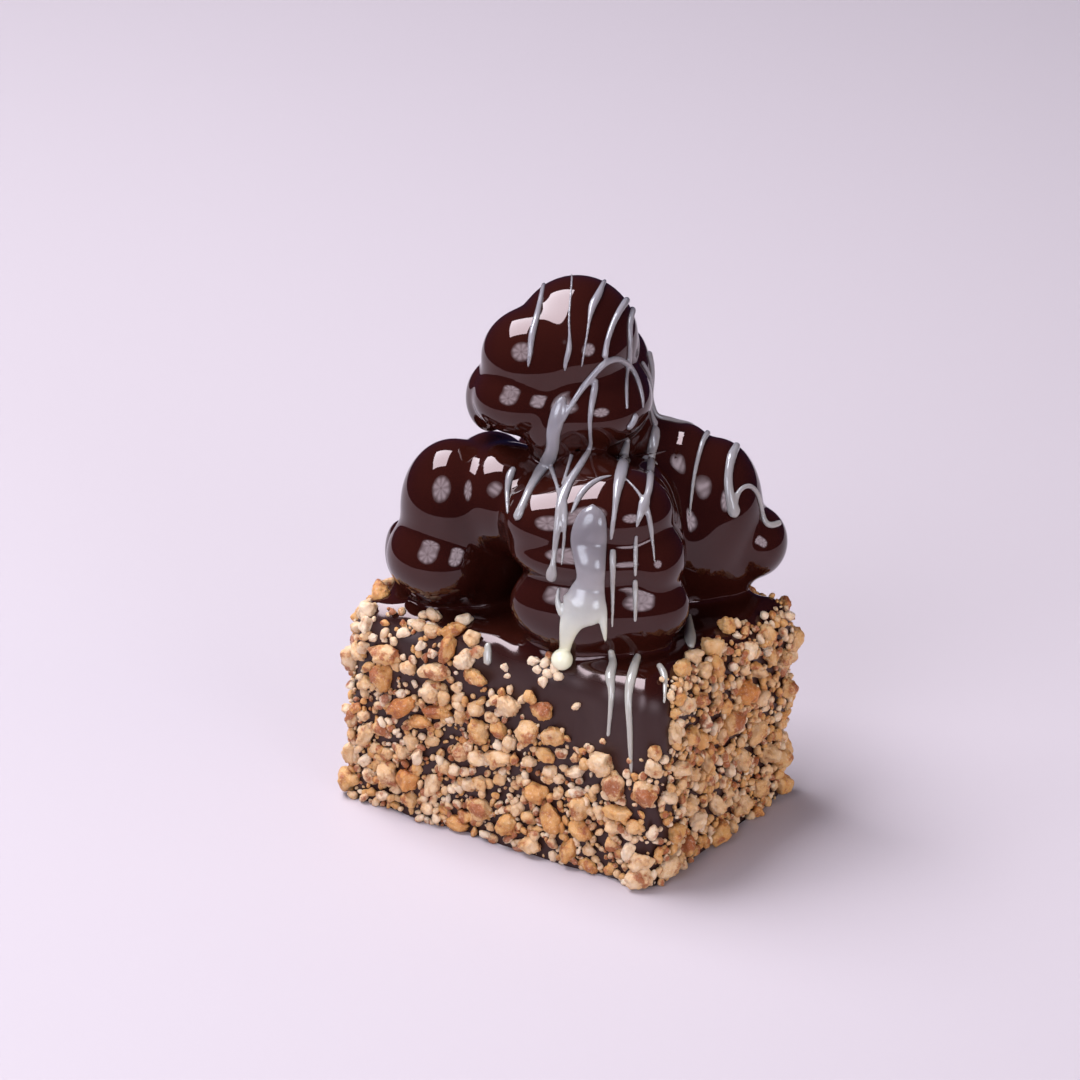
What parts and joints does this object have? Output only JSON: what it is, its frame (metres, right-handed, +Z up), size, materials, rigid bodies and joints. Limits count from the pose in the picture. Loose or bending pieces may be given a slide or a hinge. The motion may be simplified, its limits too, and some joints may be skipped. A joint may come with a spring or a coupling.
{
  "type": "glazed profiterole cake",
  "caption": "Chocolate-glazed profiteroles stacked on a small rectangular cake block with chopped nuts on its sides and white drizzle.",
  "frame": {"origin": "middle of the cake block's underside, on the surface it stands on", "axes": "+Z up, +X along the block's long side, -Y towards the front long side"},
  "size_m": [0.0721, 0.0572, 0.1006],
  "materials": {
    "dark_glaze": "gloss",
    "nut_glaze": "satin",
    "white_chocolate": "gloss",
    "roasted_nut": "matte"
  },
  "bodies": {
    "root": {"cake_block": "nut_glaze", "profiterole_left": "dark_glaze", "profiterole_right": "dark_glaze", "profiterole_back": "dark_glaze", "profiterole_front": "dark_glaze", "profiterole_top": "dark_glaze"}
  },
  "joints": []
}
